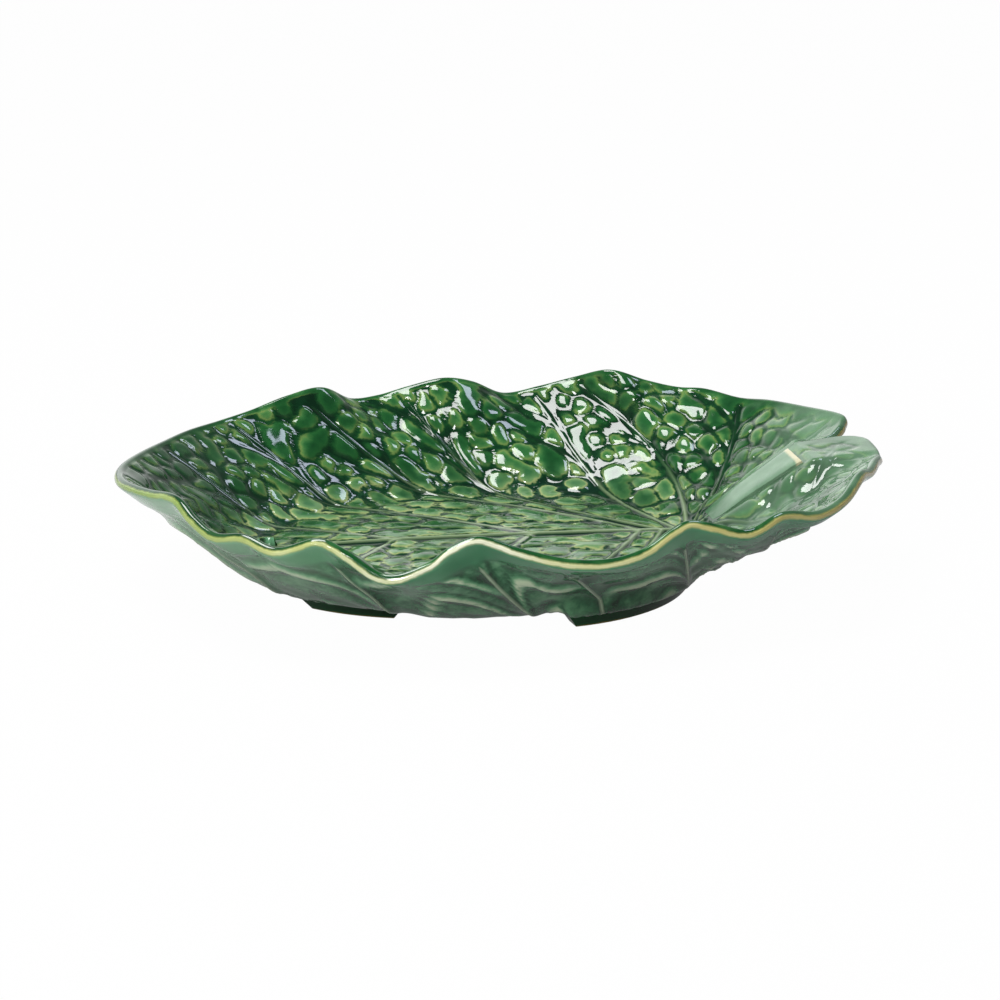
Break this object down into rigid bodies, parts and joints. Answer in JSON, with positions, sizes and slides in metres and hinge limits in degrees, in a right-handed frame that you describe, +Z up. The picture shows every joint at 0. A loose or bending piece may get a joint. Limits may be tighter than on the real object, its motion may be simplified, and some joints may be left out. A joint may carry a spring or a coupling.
{
  "type": "leaf platter",
  "caption": "Shallow ceramic platter shaped as a ruffled cabbage leaf, with raised veins, a stalk inside one end and low foot segments, for serving food.",
  "frame": {"origin": "on the table, under the middle of the platter's bounding box", "axes": "+X along the leaf from its tip to its stalk, +Y towards the back of the pictured view, +Z up"},
  "size_m": [0.321, 0.2696, 0.054],
  "materials": {
    "leaf_glaze": "thick glossy green glaze, olive where it thins over veins and puffs, ochre at the rim",
    "stalk_glaze": "thin pale grey-green gloss glaze with a bare ochre cut end",
    "foot_glaze": "very dark green gloss glaze with a wiped ochre line at the table"
  },
  "bodies": {
    "root": {"leaf_dish": "leaf_glaze", "stalk": "stalk_glaze", "foot_front_left": "foot_glaze", "foot_front_right": "foot_glaze", "foot_back_right": "foot_glaze", "foot_back_left": "foot_glaze"}
  },
  "joints": []
}
